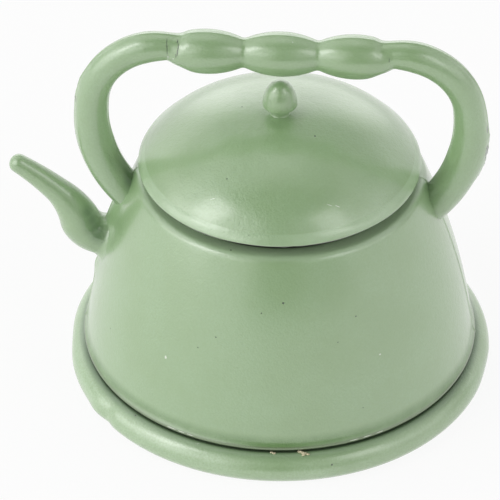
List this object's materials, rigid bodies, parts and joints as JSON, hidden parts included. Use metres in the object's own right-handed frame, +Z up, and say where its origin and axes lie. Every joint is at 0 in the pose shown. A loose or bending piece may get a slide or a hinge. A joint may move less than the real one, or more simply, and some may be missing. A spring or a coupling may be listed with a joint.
{
  "type": "miniature tea kettle",
  "caption": "Miniature tea kettle: a bulging cone on a thick round base, with a domed lid, a pointed knob, a gooseneck spout and an arched handle with a beaded grip.",
  "frame": {"origin": "centre of the base's flat underside, on which the kettle stands", "axes": "+Z up along the kettle's own axis; the spout points along -X, and the handle's arch lies in the XZ plane"},
  "size_m": [0.0475, 0.042, 0.0386],
  "materials": {
    "body_paint": "satin sage green paint on a casting",
    "lid_paint": "satin sage green paint on a casting",
    "base_paint": "satin sage green paint on a casting"
  },
  "bodies": {
    "root": {"kettle_body": "body_paint", "lid": "lid_paint", "base": "base_paint"}
  },
  "joints": []
}
